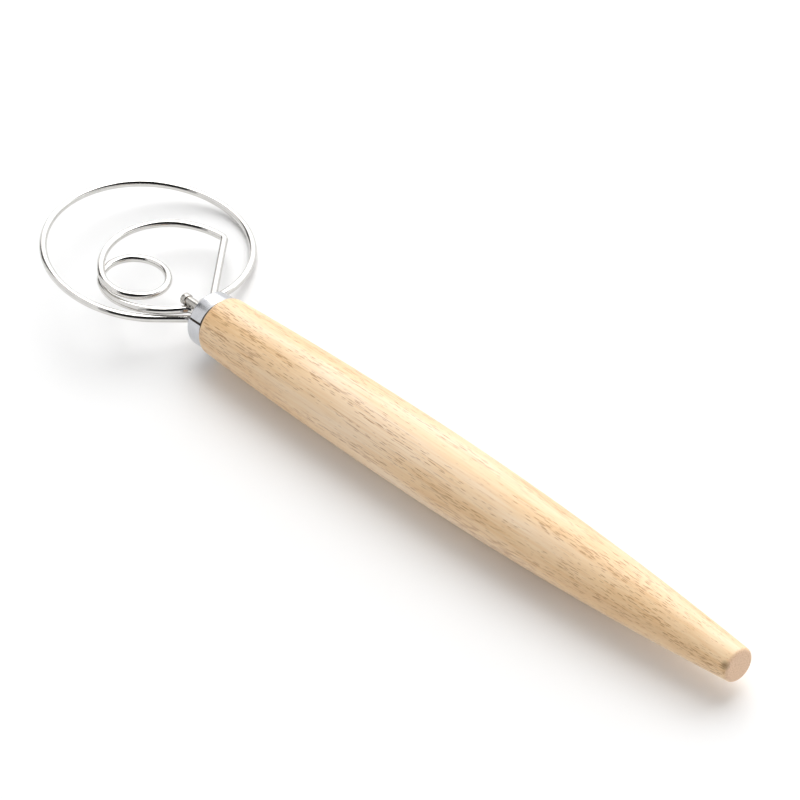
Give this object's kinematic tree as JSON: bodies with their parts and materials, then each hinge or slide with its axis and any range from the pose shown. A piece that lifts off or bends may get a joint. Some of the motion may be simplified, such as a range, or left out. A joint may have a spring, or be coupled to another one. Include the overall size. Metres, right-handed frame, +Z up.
{
  "type": "dough whisk",
  "caption": "Hand whisk for bread dough: a turned wooden handle with a steel ferrule and a flat head of bent wire, a large round loop around a coiled inner loop.",
  "frame": {"origin": "centre of the handle's flat butt face", "axes": "+X along the handle's axis towards the wire head, +Z up from the table on which the whisk lies, with the handle level"},
  "size_m": [0.3435, 0.0747, 0.0275],
  "materials": {
    "wood": "turned and sanded pale hardwood, unvarnished",
    "sheet_steel": "plated sheet steel, satin",
    "wire": "bright drawn stainless wire",
    "nail": "plain steel, semi-bright"
  },
  "bodies": {
    "root": {"handle": "wood", "ferrule": "sheet_steel", "outer_loop": "wire", "inner_coil": "wire", "locking_nail": "nail"}
  },
  "joints": []
}
